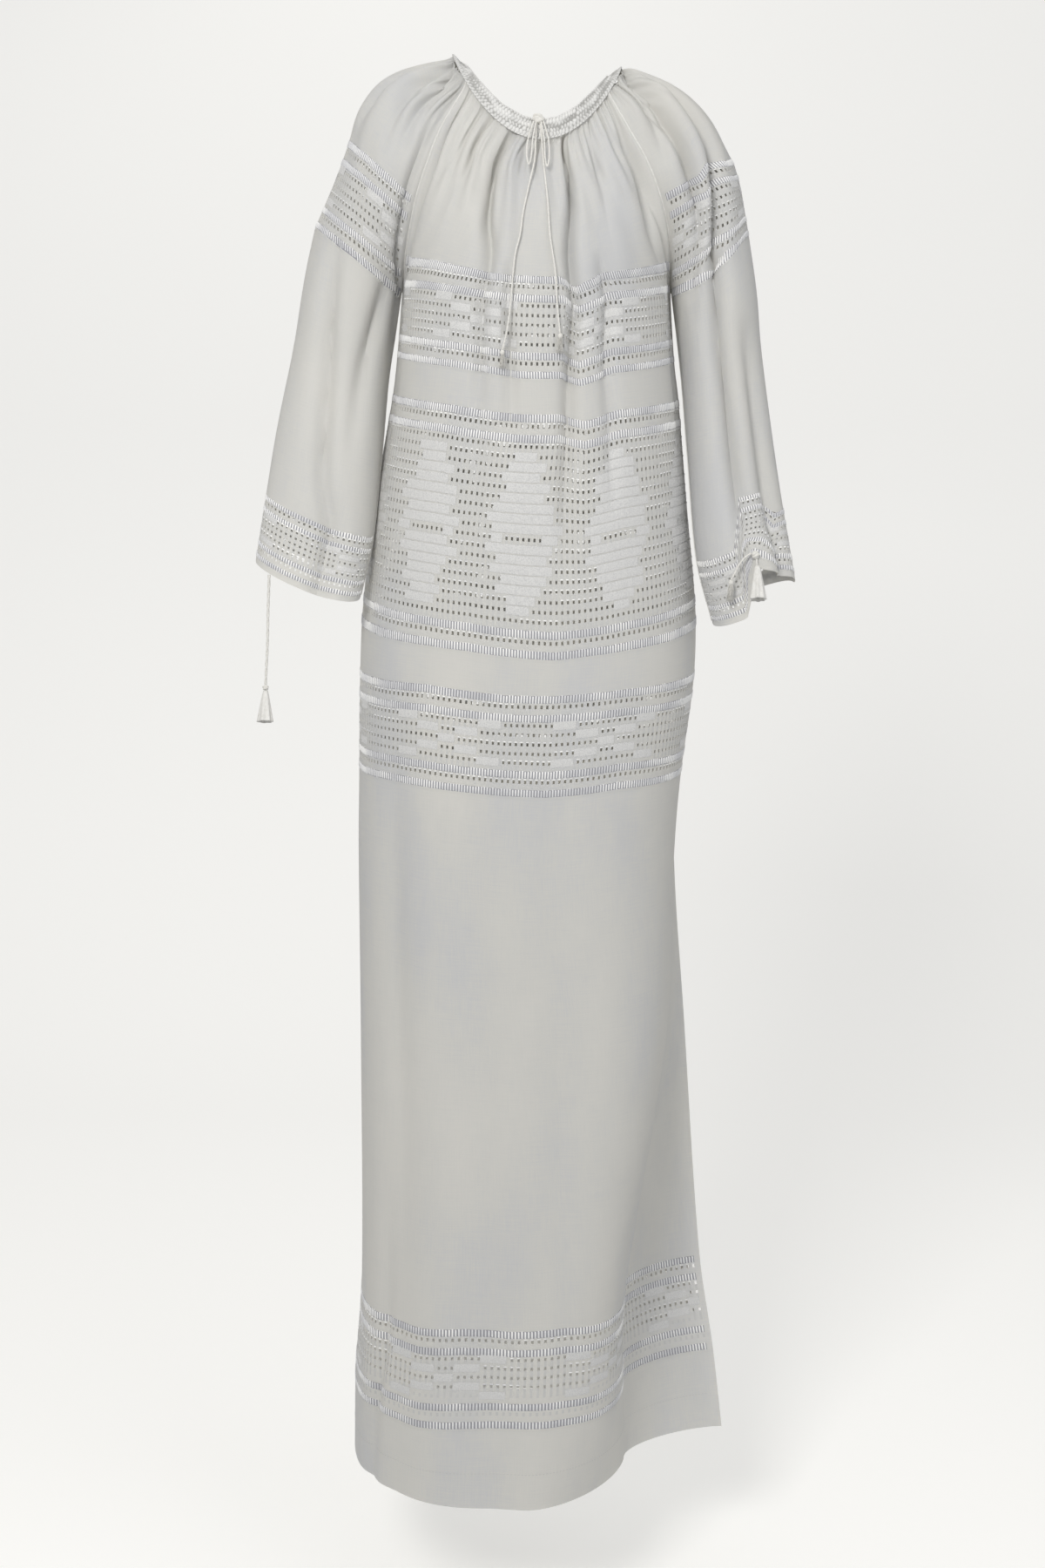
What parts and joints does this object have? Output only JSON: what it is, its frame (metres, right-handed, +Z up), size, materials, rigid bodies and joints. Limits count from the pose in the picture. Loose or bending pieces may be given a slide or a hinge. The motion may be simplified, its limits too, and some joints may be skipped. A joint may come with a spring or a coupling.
{
  "type": "maxi dress",
  "caption": "Long white cotton peasant dress with a gathered drawstring neck, raglan sleeves, openwork bands and tasselled cords",
  "frame": {"origin": "on the midline between the shoulders, at the height where the neckline rests on the wearer", "axes": "+Z up; -Y towards the wearer's front; +X towards the right of a person looking at the front"},
  "size_m": [0.53, 0.28, 1.4542],
  "materials": {
    "cotton": "thin matt white cotton with satin woven bars",
    "cord": "twisted white cotton cord"
  },
  "bodies": {
    "root": {"casing": "cotton", "front_panel": "cotton", "back_panel": "cotton", "left_sleeve": "cotton", "right_sleeve": "cotton", "neck_knot": "cord", "neck_loop_left": "cord", "neck_loop_right": "cord", "neck_tail_left": "cord", "neck_tail_right": "cord", "neck_tassel_left": "cord", "neck_tassel_right": "cord", "left_tie": "cord", "left_tie_knot": "cord", "left_tie_bell": "cotton", "right_tie_knot": "cord", "right_tie": "cord", "right_tie_tuft": "cord", "right_strand": "cord", "right_tie_bell": "cotton"}
  },
  "joints": []
}
